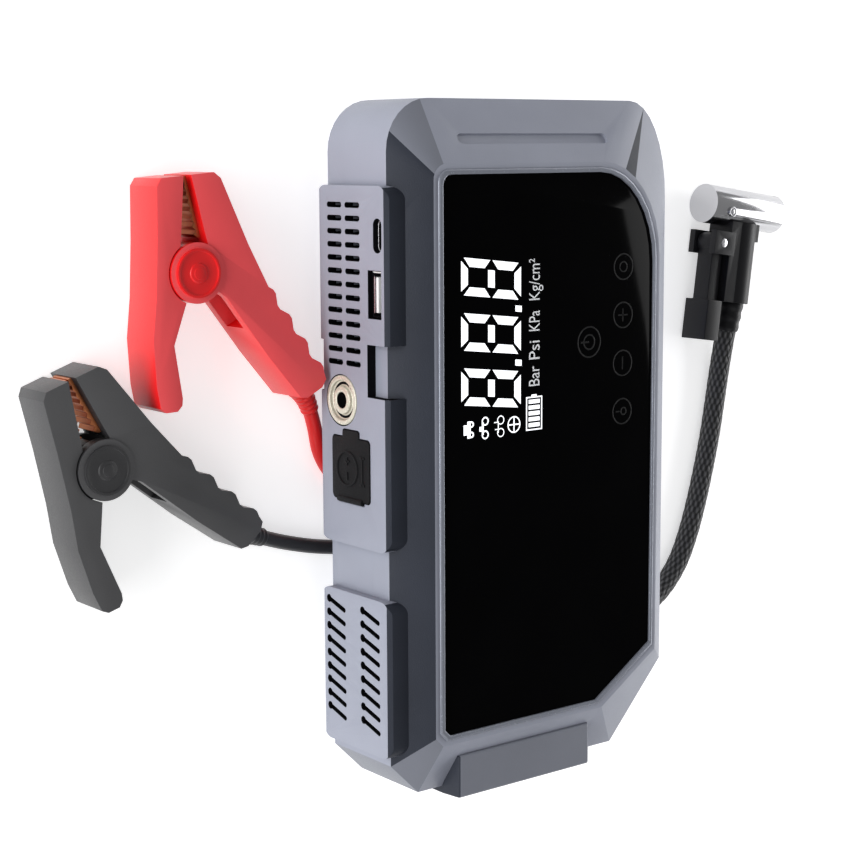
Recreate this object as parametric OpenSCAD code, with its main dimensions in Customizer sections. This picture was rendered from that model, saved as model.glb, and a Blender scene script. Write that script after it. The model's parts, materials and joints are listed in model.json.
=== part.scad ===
// Jump starter pack with a built-in tyre inflator, two clamps on leads and an air hose.
// X runs along the pack, away from the lamp. Y points to the ports. Z points out of the display.
// The pack lies on its back: z = 0 is the surface, and the origin is the middle of the back face.

/* [Body] */
// Length of the pack
body_l = 204; // [200:1:250]
// Width of the pack
body_w = 110; // [108:1:135]
// Height of the pack, back to display
body_t = 48; // [47:0.5:58]
// Depth of the slope round the back
back_slope = 10; // [9:0.5:11]
// Depth of the slope round the display
front_slope = 9.5; // [8:0.5:11]
// Wall of the moulded shells
wall = 2.5; // [2:0.1:3]

/* [Display] */
// Width of the slope beside the display
side_bezel = 12.5; // [11:0.5:15]
// Length of the slope at the top end
top_bezel = 21.5; // [18:0.5:24]
// Length of the slope at the lamp end
lamp_bezel = 19; // [17:0.5:22]
// Width of the bright rim round the glass
rim_w = 1.5; // [1:0.1:2.5]
// Thickness of the display glass
glass_t = 2.2; // [1.5:0.1:2.4]

/* [Side panels] */
// How far the two side panels stand out
panel_out = 3; // [2:0.5:4]
// Corner radius of the side panels
panel_r = 4; // [2:0.5:5]
// Number of slots in each column of the port panel
port_slots = 13; // [6:1:13]
// Number of slanted slots in each column of the vent panel
vent_slots = 9; // [4:1:9]

/* [Ports] */
// Bore of the round power port
dc_bore = 4.7; // [3:0.1:5.5]
// Outer diameter of the round power port
dc_od = 14.7; // [13:0.1:15.5]
// Side of the square rubber port cover
cover_side = 18.4; // [16:0.2:19.5]
// Thickness of the rubber port cover
cover_t = 2.2; // [1.6:0.1:2.5]

/* [Inflator] */
// Outer diameter of the motor can
motor_d = 24; // [20:0.5:26]
// Bore of the pump cylinder
pump_bore = 16; // [13:0.5:18]
// Crank radius, half the piston's stroke
crank_r = 5; // [3:0.5:5.5]
// Diameter of the crank pin
crank_pin_d = 3; // [2:0.5:4]

/* [Clamps] */
// Thickness of a clamp
clamp_t = 15; // [13:0.5:18]
// Diameter of the round boss at a clamp's pivot
boss_d = 17; // [15:0.5:18]
// Diameter of a clamp's pivot pin
clamp_pin_d = 4.2; // [3:0.1:5]
// Diameter of a clamp lead
lead_d = 4.5; // [3.5:0.1:5]

/* [Hose] */
// Outer diameter of the braided hose
hose_d = 7; // [6:0.1:7.6]
// Diameter of the chrome head
head_d = 13.4; // [12:0.1:15]
// Length of the chrome head
head_l = 35; // [30:1:40]
// Bore that takes a tyre valve
valve_bore = 8; // [7:0.1:8.6]
// Depth of the valve bore
valve_depth = 9; // [8:0.5:16]

/* [Hidden] */
$fn = 48;
eps = 0.01;
big = 400;
// Clearance of a piece that drops into a pocket, and of a shaft in its bore
fit_gap = 0.3;
run_gap = 0.05;
// Heights of the bands of the case
split_z = back_slope;
shoulder_z = body_t - front_slope;
glass_z = body_t - glass_t + 0.2;
// The lead and hose channel moulded across the back
channel_x0 = -80;
channel_x1 = -5;
channel_h = 9;
channel_roof = channel_h + wall;
// Extents of the glass, seen from the front
glass_x0 = -body_l/2 + lamp_bezel;
glass_x1 = body_l/2 - top_bezel;
glass_y0 = -body_w/2 + side_bezel + 2;
glass_y1 = body_w/2 - side_bezel;
// Outer faces and heights of the side panels
wall_y = body_w/2;
panel_y = wall_y + panel_out;
panel_z0 = 8.5;
panel_z1 = shoulder_z + 3.8;
panel_back = 6;
port_x0 = -27.5;
port_x1 = 77.5;
vent_x0 = -89;
vent_x1 = -42;
notch_x0 = 17.2;
notch_x1 = 32.4;
// Port places along the wall and up it
usb_c_x = 63.5;
usb_c_z = panel_z1 - 4.2;
usb_a_x = 46.8;
usb_a_z = panel_z1 - 5.7;
dc_x = 15.1;
dc_z = 19.9;
cover_x = -4.8;
cover_z = 24.4;
cover_y0 = panel_y - cover_t + 0.3;
// Lamp block at the end of the pack
lamp_x0 = -body_l/2 - 2.2;
lamp_x1 = -body_l/2 + 11;
lamp_y0 = -18;
lamp_y1 = 36;
lamp_z0 = 14;
lamp_z1 = body_t - 2;
// Inflator: the motor lies along X, the piston slides along Y
motor_y = 20;
motor_z = 18.5;
crank_x = 33;
yoke_x = 27;
motor_x0 = 40;
motor_x1 = 73;
shaft_r = 1.5;
fan_x = 77;
crank_t = 3;
yoke_half = crank_r + crank_pin_d/2 + 1;
piston_y = motor_y - yoke_half - crank_r - 8;
// Case screws, clear of the channel and of the lamp
SCREWS = [[glass_x1 + 3.5, body_w/2 - 21], [glass_x1 + 3.5, 27 - body_w/2],
    [glass_x0 - 4, body_w/2 - 25], [glass_x0 - 4, 33 - body_w/2]];
screw_r = 1.5;
FEET = [[glass_x1 - 12.5, 12], [glass_x1 - 12.5, -12], [glass_x0 - 4, 14], [glass_x0 - 4, -6]];
foot_r = 4;
foot_t = 1.4;
// The loose pieces are drawn for this half width, and a wider case moves them out
base_half_w = 55;
side_shift = wall_y - base_half_w;
function spread(route) = [for (p = route)
    [p[0], p[1] + side_shift*max(-1, min(1, p[1]/base_half_w)), p[2]]];
// Clamp places: pivot x, y and turn
RED_AT = [54, 103 + side_shift, 5];
BLACK_AT = [2, 133 + side_shift, 20];
RED = "#e01010";
GREY = "#8a8e9a";
BLACK = "#202124";
pin_r = clamp_pin_d/2;
cheek_t = 3;
mid_z = clamp_t/2;
// Chuck: its head's centre on the surface, and its turn
CHUCK_AT = [66, -123, -8];
chuck_z = head_d/2;
seal_t = 3;
// Round part of the chuck's body, drawn a little off the head's centre like the hose
chuck_d = 13;
chuck_y = -1;
lever_x = -13;
lever_y = 11.5;

// Points along the cords, on the surface at z = 0
RED_ROUTE = [[18.6, 65, 6], [15.5, 61.6, 5.2], [11.5, 58.8, 3.9], [5, 56, 2.6], [-3, 54, 2.3],
    [-9.5, 50, 2.3], [-13.5, 44, 2.3], [-15.5, 36, 2.3], [-16.5, 24, 2.3], [-17, 8, 2.3], [-17, -10, 2.3],
    [-16, -28, 2.3], [-14.5, -42, 2.3], [-11, -53, 2.3], [-5, -59.4, 2.6], [3, -62, 3.6],
    [12, -62.5, 4.8], [21, -62.5, 5.2]];
BLACK_ROUTE = [[-22.2, 86.2, 6], [-23.8, 82, 5.2], [-26.4, 75, 3.6], [-29, 67, 2.5], [-31.4, 57.5, 2.3],
    [-33, 48, 2.3], [-34, 38, 2.3], [-34.5, 24, 2.3], [-34.5, 8, 2.3], [-34, -10, 2.3],
    [-33, -28, 2.3], [-31, -43, 2.3], [-27, -54.5, 2.3], [-19.5, -63.5, 2.3],
    [-10, -68.2, 2.6], [0, -69.4, 3.6], [10, -69.5, 4.8], [21, -69.5, 5.2]];
HOSE_ROUTE = [[-74, -46.5, 4.4], [-74, -54, 4.1], [-74, -62, 3.7], [-73.6, -72, 3.5], [-71.5, -82, 3.5],
    [-66.5, -91, 3.5], [-58.5, -98.5, 3.5], [-49, -103.5, 3.5], [-38, -107.5, 3.5],
    [-26, -111, 3.5], [-14, -114, 3.5], [-2, -116.3, 3.5], [8, -117.7, 3.9],
    [18, -118.8, 4.8], [27, -119.9, 5.8], [34, -120.9, 6.4]];

// Outline of the case, anticlockwise, with the same number of points at every size
ARC_N = 8;
function outline(x0, x1, y0, y1, r, cut, cx, cy, dx, dy) = concat(
    [for (i = [0:ARC_N]) [x1 - r + r*cos(90*i/ARC_N), y1 - r + r*sin(90*i/ARC_N)]],
    [[x0 + cut, y1], [x0, y1 - cut], [x0, y0 + cy], [x0 + cx, y0]],
    [for (i = [0:ARC_N]) [x1 - dx + dx*sin(90*i/ARC_N), y0 + dy - dy*cos(90*i/ARC_N)]]);
function case_line(inset) = outline(-body_l/2 + inset, body_l/2 - inset, -body_w/2 + inset,
    body_w/2 - inset, max(3, 15 - inset/2), max(3, 10 - inset/3), 24 - inset/3, 22 - inset/3,
    30 - inset/3, 16 - inset/3);
function glass_line(out) = outline(glass_x0 - out, glass_x1 + out, glass_y0 - out, glass_y1 + out,
    3 + out/2, 2 + out/4, 15, 23, 28 + out/2, 22.5 + out/2);

// A solid that passes through outlines at given heights
module loft(lines, heights) {
    n = len(lines[0]);
    m = len(lines);
    pts = [for (k = [0:m - 1]) for (p = lines[k]) [p[0], p[1], heights[k]]];
    sides = [for (k = [0:m - 2]) for (i = [0:n - 1]) for (half = [0, 1])
        half == 0 ? [k*n + i, (k + 1)*n + i, k*n + (i + 1)%n]
                  : [k*n + (i + 1)%n, (k + 1)*n + i, (k + 1)*n + (i + 1)%n]];
    base = [[for (i = [0:n - 1]) i]];
    top = [[for (i = [n - 1:-1:0]) (m - 1)*n + i]];
    polyhedron(points = pts, faces = concat(base, sides, top));
}

// A round tube swept along a list of points
function unit(v) = v/norm(v);
function along(p, i) = unit(i == 0 ? p[1] - p[0] : i == len(p) - 1 ? p[i] - p[i - 1] : p[i + 1] - p[i - 1]);
function ring_at(p, i, r, sides) =
    let (t = along(p, i), u = unit(cross([0, 0, 1], t)), v = cross(t, u))
    [for (j = [0:sides - 1]) p[i] + r*(cos(360*j/sides)*u + sin(360*j/sides)*v)];
module sweep(route, r, sides) {
    n = len(route);
    pts = [for (i = [0:n - 1]) for (q = ring_at(route, i, r, sides)) q];
    walls = [for (i = [0:n - 2]) for (j = [0:sides - 1]) for (half = [0, 1])
        half == 0 ? [i*sides + j, i*sides + (j + 1)%sides, (i + 1)*sides + j]
                  : [i*sides + (j + 1)%sides, (i + 1)*sides + (j + 1)%sides, (i + 1)*sides + j]];
    first = [[for (j = [sides - 1:-1:0]) j]];
    last = [[for (j = [0:sides - 1]) (n - 1)*sides + j]];
    polyhedron(points = pts, faces = concat(first, walls, last));
}

// Plates and blocks
module block(x0, x1, y0, y1, z0, z1) {
    translate([x0, y0, z0]) cube([x1 - x0, y1 - y0, z1 - z0]);
}
module slot2d(l, w) {
    translate([-(l - w)/2, 0]) circle(d = w);
    translate([(l - w)/2, 0]) circle(d = w);
    square([l - w, w], center = true);
}
module round_rect(x0, x1, y0, y1, r) {
    translate([x0 + r, y0]) square([x1 - x0 - 2*r, y1 - y0]);
    translate([x0, y0 + r]) square([x1 - x0, y1 - y0 - 2*r]);
    for (x = [x0 + r, x1 - r]) for (y = [y0 + r, y1 - r]) translate([x, y]) circle(r = r);
}
// Turns a drawing of x against z into a plate that spans y0 to y1
module wall_plate(y0, y1) {
    translate([0, y1, 0]) rotate([90, 0, 0]) linear_extrude(y1 - y0) children();
}

// The whole outer form of the case
module case_form() {
    loft([case_line(back_slope), case_line(0), case_line(0), glass_line(3)],
        [0, split_z, shoulder_z, body_t]);
}
module lamp_block(gap) {
    block(lamp_x0 - gap, lamp_x1 + gap, lamp_y0 - gap, lamp_y1 + gap, lamp_z0 - gap, lamp_z1 - 6);
    translate([lamp_x0 - gap, 0, lamp_z1 - 6 - eps]) rotate([90, 0, 90])
        linear_extrude(lamp_x1 - lamp_x0 + 2*gap)
            polygon([[lamp_y0 - gap, 0], [lamp_y1 + gap, 0], [lamp_y1 - 1 + gap, 6 + gap],
                [lamp_y0 + 1 - gap, 6 + gap]]);
}
module port_outline(grow) {
    difference() {
        round_rect(port_x0 - grow, port_x1 + grow, panel_z0 - grow, panel_z1 + grow, panel_r);
        translate([notch_x0 + grow, panel_z1 - 9.5 + grow])
            square([notch_x1 - notch_x0 - 2*grow, 20]);
        translate([notch_x0 + grow, panel_z0 - 10]) square([notch_x1 - notch_x0 - 2*grow, 12.5]);
    }
}
module port_holes(gap) {
    translate([usb_c_x, usb_c_z]) slot2d(9.2 + 2*gap, 3.4 + 2*gap);
    translate([usb_a_x - 6.6 - gap, usb_a_z - 2.9 - gap]) square([13.2 + 2*gap, 5.8 + 2*gap]);
    translate([dc_x, dc_z]) circle(d = dc_od + 2*gap);
}
module cover_outline(gap) {
    half = cover_side/2 + gap;
    round_rect(cover_x - half, cover_x + half, cover_z - half, cover_z + half, 1.5);
    round_rect(cover_x + half - 2, cover_x + half + 2.2, cover_z - 4 - gap, cover_z + 4 + gap, 1);
}

module front_shell() color(GREY) {
    difference() {
        union() {
            difference() {
                intersection() {
                    case_form();
                    block(-big, big, -big, big, split_z, big);
                }
                loft([case_line(wall), case_line(wall), glass_line(1)],
                    [split_z - 1, shoulder_z - 1.3, body_t - 4.2]);
                loft([glass_line(-2.5), glass_line(-2.5)], [body_t - 6, body_t + 1]);
                loft([glass_line(rim_w), glass_line(rim_w)], [glass_z - 0.2, body_t + 1]);
            }
            for (s = SCREWS) translate([s[0], s[1], split_z])
                cylinder(r = 3.6, h = body_t - 3 - split_z);
            intersection() {
                case_form();
                block(80, big, -big, -39, split_z, 34);
            }
        }
        lamp_block(0);
        wall_plate(wall_y - 8, wall_y + 1) port_holes(fit_gap);
        wall_plate(wall_y - 8, wall_y + 1) offset_square(cover_x, cover_z, 17.2);
        for (i = [0:port_slots - 1]) wall_plate(wall_y - 4, wall_y + 1) port_slot(i, 0.2);
        for (i = [0:vent_slots - 1]) wall_plate(wall_y - 4, wall_y + 1) vent_slot(i, 0.2);
        for (s = SCREWS) translate([s[0], s[1], split_z - 1]) cylinder(r = screw_r, h = 16);
        groove();
        lanyard_slot();
    }
}
module offset_square(x, z, side) {
    translate([x - side/2, z - side/2]) square(side);
}
// Shallow groove in the slope at the top end
module groove() {
    slope = atan(front_slope/(top_bezel - 3));
    mid_x = body_l/2 - (top_bezel - 3)*0.62;
    mid_z2 = shoulder_z + front_slope*0.62;
    translate([mid_x, 5, mid_z2]) rotate([0, slope, 0]) rotate([0, 0, 90])
        translate([0, 0, -1]) linear_extrude(4) slot2d(58, 3.4);
}
// Slot behind the rounded corner that a wrist strap goes through
module lanyard_slot() {
    translate([body_l/2 - 11.2, -body_w/2 + 7.6, split_z - 1]) rotate([0, 0, 36])
        linear_extrude(21) slot2d(17, 3.2);
}
module port_slot(i, gap) {
    pitch = 3.8;
    for (z = [17.2, 26]) translate([26.3 + i*pitch, z]) rotate(90) slot2d(7.2 + gap, 1.6 + gap);
}
module vent_slot(i, gap) {
    pitch = 4.15;
    for (z = [16.2, 33.2]) translate([-46.8 - i*pitch - (z > 20 ? 0.6 : 0), z]) {
        rotate(107) slot2d(9.2 + gap, 1.5 + gap);
        translate([1.2, -4]) circle(d = 2.4 + gap);
    }
}

module back_shell() color(GREY) {
    difference() {
        union() {
            difference() {
                intersection() {
                    case_form();
                    block(-big, big, -big, big, -1, split_z);
                }
                loft([case_line(back_slope + 1.2), case_line(wall)], [wall, split_z + eps]);
            }
            intersection() {
                case_form();
                block(channel_x0 - wall, channel_x1 + wall, -big, big, 0, split_z);
            }
            intersection() {
                block(channel_x0 - wall, channel_x1 + wall, -big, big, split_z - eps, big);
                loft([case_line(wall + fit_gap), case_line(wall + fit_gap)],
                    [split_z - 1, channel_roof]);
            }
            for (s = SCREWS) translate([s[0], s[1], 0]) cylinder(r = 4.4, h = split_z);
        }
        block(channel_x0, channel_x1, -big, big, -1, channel_h);
        for (s = SCREWS) translate([s[0], s[1], -1]) cylinder(r = screw_r + 0.3, h = 20);
        for (s = SCREWS) translate([s[0], s[1], -1]) cylinder(r = 3, h = 4);
        for (f = FEET) translate([f[0], f[1], -1]) cylinder(r = foot_r, h = foot_t + 1);
        translate([gland_x, gland_y, channel_h - 1]) cylinder(r = 2.6, h = 5);
    }
}
module port_panel() color(GREY) {
    difference() {
        intersection() {
            wall_plate(wall_y - panel_back, panel_y) port_outline(0);
            panel_limit();
        }
        case_form();
        wall_plate(wall_y - 9, panel_y + 1) port_holes(fit_gap);
        for (i = [0:port_slots - 1]) wall_plate(wall_y - 9, panel_y + 1) port_slot(i, 0);
        wall_plate(cover_y0, panel_y + 1) cover_outline(fit_gap);
        wall_plate(wall_y - 9, panel_y + 1) offset_square(cover_x, cover_z, 15.6);
        cover_barrel(barrel_r + 0.35, barrel_l + 0.8);
    }
}
// Round hinge barrel along the lower edge of the port cover
barrel_r = 0.9;
barrel_l = 12;
module cover_barrel(r, l) {
    translate([cover_x - cover_side/2, panel_y + 0.3, cover_z - l/2]) cylinder(r = r, h = l);
}
// Chamfers the outer edges of a side panel
module panel_limit() {
    c = 1.2;
    translate([-body_l/2 - 5, 0, 0]) rotate([90, 0, 90]) linear_extrude(body_l + 10)
        polygon([[0, panel_z0 - 4], [panel_y - c, panel_z0 - eps], [panel_y, panel_z0 + c],
            [panel_y, panel_z1 - c], [panel_y - c, panel_z1 + eps], [0, panel_z1 + eps]]);
}
module vent_panel() color(GREY) {
    difference() {
        intersection() {
            wall_plate(wall_y - panel_back, panel_y)
                round_rect(vent_x0, vent_x1, panel_z0, panel_z1, panel_r);
            panel_limit();
        }
        case_form();
        for (i = [0:vent_slots - 1]) wall_plate(wall_y - 9, panel_y + 1) vent_slot(i, 0);
    }
}
module display_rim() color("#b4b8c4") {
    difference() {
        loft([glass_line(rim_w), glass_line(rim_w), glass_line(rim_w - 0.5)],
            [glass_z - 0.2, body_t + 0.2, body_t + 0.7]);
        loft([glass_line(0), glass_line(0)], [glass_z - 1, body_t + 2]);
    }
}
module display_glass() color("#050507") {
    loft([glass_line(0), glass_line(0)], [glass_z - 0.2, body_t]);
}
module led_display() color("white") {
    block(9, 57, 10, 38, body_t - 7, glass_z - 0.4);
    block(1, 15, 2, 38, body_t - 7, glass_z - 0.4);
    for (y = [14, 34]) translate([20, y, 37.4]) cylinder(d = 1, h = body_t - 7 - 37.4);
}
module touch_board() color("darkgreen") {
    block(0, 58, -36, -4, glass_z - 2, glass_z - 0.4);
    block(50, 56, -8, -5, glass_z - 4, glass_z - 2);
}
module main_board() color("darkgreen") {
    difference() {
        block(-6, 76, -44, 40, 35.8, 37.4);
        for (y = [-38, 34]) translate([72, y, 30]) cylinder(r = 1.6, h = 10);
    }
    block(18, 30, -20, -8, 37.4, 39);
    block(0, 8, -40, -30, 37.4, 40.5);
    for (x = [44, 54, 64]) translate([x, -30, 37.4]) cylinder(r = 2.5, h = 3.5);
}
module port_board() color("darkgreen") {
    block(38, 70, 41, 51, usb_a_z - 4.6, usb_a_z - 3);
}
module usb_c_socket() color("silver") {
    difference() {
        wall_plate(42, wall_y + 1.5) translate([usb_c_x, usb_c_z]) slot2d(9.2, 3.4);
        wall_plate(48, wall_y + 2) translate([usb_c_x, usb_c_z]) slot2d(8.4, 2.6);
    }
    wall_plate(47, wall_y) translate([usb_c_x - 3, usb_c_z - 0.35]) square([6, 0.7]);
    block(usb_c_x - 4, usb_c_x + 4, 43, 47, usb_a_z - 3, usb_c_z - 1.6);
}
module usb_a_socket() color("silver") {
    difference() {
        block(usb_a_x - 6.6, usb_a_x + 6.6, 42, wall_y + 1.5, usb_a_z - 2.9, usb_a_z + 2.9);
        block(usb_a_x - 6.1, usb_a_x + 6.1, 45, wall_y + 2, usb_a_z - 2.3, usb_a_z + 2.3);
    }
    block(usb_a_x - 5.5, usb_a_x + 5.5, 44.5, wall_y + 0.5, usb_a_z + 0.2, usb_a_z + 1.7);
    block(usb_a_x - 5, usb_a_x + 5, 42.5, 48, usb_a_z - 3, usb_a_z - 2.8);
}
dc_front = panel_y + 0.2;
module dc_socket() color("ivory") translate([dc_x, 0, dc_z]) rotate([-90, 0, 0]) {
    difference() {
        translate([0, 0, 44]) cylinder(d = dc_od, h = dc_front - 44);
        translate([0, 0, 46]) cylinder(d = dc_bore, h = 20);
        translate([0, 0, dc_front - 1.2]) difference() {
            cylinder(d = dc_od - 3, h = 5);
            translate([0, 0, -1]) cylinder(d = dc_bore + 3.6, h = 8);
        }
    }
}
module jump_socket() color(BLACK) {
    difference() {
        wall_plate(40, wall_y) offset_square(cover_x, cover_z, 16.6);
        wall_plate(43, wall_y + 1) offset_square(cover_x, cover_z, 13.8);
    }
}
module socket_contacts() color("gold") {
    for (z = [-3.4, 3.4]) translate([cover_x, 43, cover_z + z]) rotate([-90, 0, 0]) difference() {
        cylinder(r = 2.2, h = 9);
        translate([0, 0, 1]) cylinder(r = 1.6, h = 10);
    }
}
module port_cover() color(BLACK) {
    wall_plate(cover_y0, cover_y0 + cover_t) cover_outline(0);
    wall_plate(cover_y0 - 2, cover_y0 + eps) offset_square(cover_x, cover_z, 11);
    cover_barrel(barrel_r, barrel_l);
}
cells_x0 = -79;
cells_x1 = -16;
module battery_cells() color("royalblue") {
    for (y = [-40, 3]) for (z = [channel_roof + 1.5, channel_roof + 11.2])
        block(cells_x0, cells_x1, y, y + 41.5, z, z + 9.2);
}
module battery_tray() color("dimgray") {
    difference() {
        block(cells_x0 - 1.5, cells_x1 + 1.5, -41.5, 46, channel_roof, channel_roof + 6);
        block(cells_x0, cells_x1, -40, 44.5, channel_roof + 1.5, big);
    }
}
module relay() color("#303a8c") {
    block(2, 18, -40, -26, 22, 35.8);
}
module heat_sink() color("silver") {
    block(-84, -46, 46.8, 48.2, 19, 33);
    for (x = [-83:5:-48]) block(x, x + 1.5, 48.2, 52, 19, 33);
}
module motor_can() color("silver") translate([motor_x0, motor_y, motor_z]) rotate([0, 90, 0]) {
    difference() {
        union() {
            cylinder(d = motor_d, h = motor_x1 - motor_x0);
            translate([0, 0, -2]) cylinder(r = 4.5, h = motor_x1 - motor_x0 + 4);
        }
        translate([0, 0, -5]) cylinder(r = shaft_r + run_gap, h = 60);
    }
}
module crankshaft() color("gray") translate([crank_x, motor_y, motor_z]) rotate([0, 90, 0]) {
    cylinder(r = shaft_r, h = fan_x + 6 - crank_x);
    cylinder(r = crank_r + crank_pin_d/2 + 1.5, h = crank_t);
    translate([-crank_r, 0, -7]) cylinder(d = crank_pin_d, h = 7 + eps);
}
module cooling_fan() color(BLACK) translate([fan_x, motor_y, motor_z]) rotate([0, 90, 0]) {
    difference() {
        union() {
            cylinder(r = 3.5, h = 6);
            for (a = [0:60:300]) rotate([0, 0, a]) translate([2.5, 0, 3]) rotate([38, 0, 0])
                translate([0, -3, -0.5]) cube([8, 6, 1]);
        }
        translate([0, 0, -1]) cylinder(r = shaft_r, h = 10);
    }
}
// The yoke window is wider than the crank pin's circle, so the open linkage never touches
module piston() color("lightgray") {
    w = yoke_half;
    translate([yoke_x - 2, motor_y, motor_z]) rotate([0, 90, 0]) linear_extrude(4) difference() {
        square([2*w + 5, 2*w + 5], center = true);
        square([2*w, 2*w], center = true);
    }
    block(yoke_x - 2, yoke_x + 2, piston_y, motor_y - w - 2.4, motor_z - 3, motor_z + 3);
    translate([yoke_x, piston_y, motor_z]) rotate([90, 0, 0])
        cylinder(d = pump_bore - 2*run_gap, h = 6);
}
cyl_y1 = piston_y + 4.5;
cyl_y0 = piston_y - 6 - crank_r - 1.5;
module pump_cylinder() color("silver") translate([yoke_x, cyl_y1, motor_z]) rotate([90, 0, 0]) {
    difference() {
        union() {
            cylinder(d = pump_bore + 4, h = cyl_y1 - cyl_y0);
            for (h = [3:3:12]) translate([0, 0, h]) cylinder(d = pump_bore + 5.6, h = 1.2);
        }
        translate([0, 0, -1]) cylinder(d = pump_bore, h = 40);
    }
}
module pump_head() color("gray") {
    translate([yoke_x, cyl_y0, motor_z]) rotate([90, 0, 0]) cylinder(d = pump_bore + 6, h = 5);
    translate([yoke_x, cyl_y0 - 5, motor_z]) rotate([90, 0, 0]) cylinder(r = 2.5, h = 6);
}
module pump_bracket() color("dimgray") {
    difference() {
        block(motor_x0 - 2, motor_x0, motor_y - 15, motor_y + 15, wall, motor_z + 14);
        translate([motor_x0 - 5, motor_y, motor_z]) rotate([0, 90, 0]) cylinder(r = 4.5, h = 10);
    }
    block(motor_x0, motor_x1, motor_y - 15, motor_y + 15, wall, motor_z - motor_d/2 - 0.2);
    block(yoke_x - 11, yoke_x + 11, cyl_y0, cyl_y0 + 2.5, wall, motor_z - pump_bore/2 - 2);
    block(yoke_x - 11, motor_x0, cyl_y0, cyl_y0 + 2.5, wall, 4.5);
    block(motor_x0 - 2, motor_x0, cyl_y0, motor_y, wall, 4.5);
}
// Air pipe from the pump head, round the cells, to the hose gland
gland_x = -74;
gland_y = -44.6;
PIPE_ROUTE = [[yoke_x, cyl_y0 - 11, motor_z], [yoke_x - 2, -38, motor_z], [yoke_x - 9, -44.5, 18],
    [yoke_x - 18, -48, 17.6], [-10, -48.6, 17], [-30, -48.6, 17], [-50, -48.6, 17],
    [-61, -48.4, 17.8], [-67, -47.4, 18.6], [-71.5, -45.8, 18.2], [-73.6, -44.9, 16.6],
    [gland_x, gland_y, 14.2]];
module air_pipe() color("white") sweep(PIPE_ROUTE, 2, 10);
module pressure_sensor() color("black") {
    block(40, 52, -40, -30, 31, 35.8);
    translate([46, -35, 27]) cylinder(r = 1.5, h = 5);
}
module lamp_housing() color(GREY) {
    difference() {
        lamp_block(0);
        block(lamp_x0 - 1, lamp_x0 + 2.4, lamp_y0 + 3, lamp_y1 - 3, lamp_z0 + 5, lamp_z1 - 6);
        block(lamp_x0 - 1, lamp_x1 - 2, lamp_y0 + 5, lamp_y1 - 5, lamp_z0 + 7, lamp_z1 - 8);
    }
}
module lamp_board() color("white") {
    x = lamp_x1 - 3.6;
    block(x, x + 1.6, lamp_y0 + 5.2, lamp_y1 - 5.2, lamp_z0 + 7.2, lamp_z1 - 8.2);
    for (y = [-6, 9, 24]) translate([x + eps, y, (lamp_z0 + lamp_z1)/2 - 0.5]) rotate([0, -90, 0])
        cylinder(r = 3, h = 2.4);
}
module lamp_lens() color([0.9, 0.95, 1, 0.5]) {
    block(lamp_x0 + 0.4, lamp_x0 + 2.4, lamp_y0 + 3, lamp_y1 - 3, lamp_z0 + 5, lamp_z1 - 6);
}
module rubber_feet() color(BLACK) {
    for (f = FEET) translate([f[0], f[1], 0]) cylinder(r = foot_r, h = foot_t);
}
module case_screws() color("silver") {
    for (s = SCREWS) translate([s[0], s[1], 0.6]) difference() {
        union() {
            cylinder(r = 2.8, h = 2.4);
            cylinder(r = screw_r, h = 20);
        }
        for (a = [0, 90]) rotate([0, 0, a]) translate([-2, -0.35, -1]) cube([4, 0.7, 2]);
    }
}

// Clamp, drawn with its pivot at the origin and its jaws along +X
jaw_l = 27;
CABLE_END = [-36.7, -35];
function wave(t, s) = 0.9*sin(360*3.5*t)*s;
grip0 = [-7, -23];
grip1 = [-34.5, -39.5];
CABLE_LINE = concat([[jaw_l, -1.2], [jaw_l, -8.6], [jaw_l - 1.8, -10.6], [6, -17.5]],
    [for (i = [0:21]) let (t = i/21, d = grip1 - grip0, n = unit([d[1], -d[0]]))
        grip0 + t*d - wave(t, 1)*n],
    [[-36.6, -40], [-38.8, -38.4], [-41, -33], [-40.6, -30.6], [-39.4, -29.8], [-26.5, -20.6],
    [-8, -8.8], [-4, -3.5], [2, -2], [7.5, -4.4], [12, -3.6]]);
SQUEEZE_LINE = [[jaw_l, 1.2], [12, 3.6], [7.5, 4.4], [2, 4], [-6.5, 3.6], [-19, 9.4], [-34, 8.4],
    [-36, 8.8],
    [-37.4, 10.4], [-37.2, 14], [-35.8, 15.6], [-30, 16.2], [-17, 15.8], [-6, 13.6], [10, 11.4],
    [jaw_l - 2, 9.8], [jaw_l, 8.2]];
module at_clamp(at) {
    translate([at[0], at[1], 0]) rotate([0, 0, at[2]]) children();
}
boss_r = boss_d/2;
module cable_handle() {
    difference() {
        union() {
            edged(CABLE_LINE, clamp_t);
            cylinder(r = boss_r, h = cheek_t);
            translate([0, 0, clamp_t - cheek_t]) cylinder(r = boss_r, h = cheek_t + 0.6);
        }
        translate([0, 0, cheek_t]) cylinder(r = boss_r + 0.4, h = clamp_t - 2*cheek_t);
        translate([0, 0, -1]) cylinder(r = pin_r, h = clamp_t + 5);
        translate([CABLE_END[0], CABLE_END[1], 6]) rotate([0, 90, 222])
            cylinder(d = lead_d + 0.4, h = 20, center = true);
        translate([0, 0, cheek_t]) linear_extrude(clamp_t - 2*cheek_t)
            polygon([[3, -2.5], [0, -9], [-16.5, -18.5], [-19, -13], [-7, -2]]);
    }
}
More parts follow.
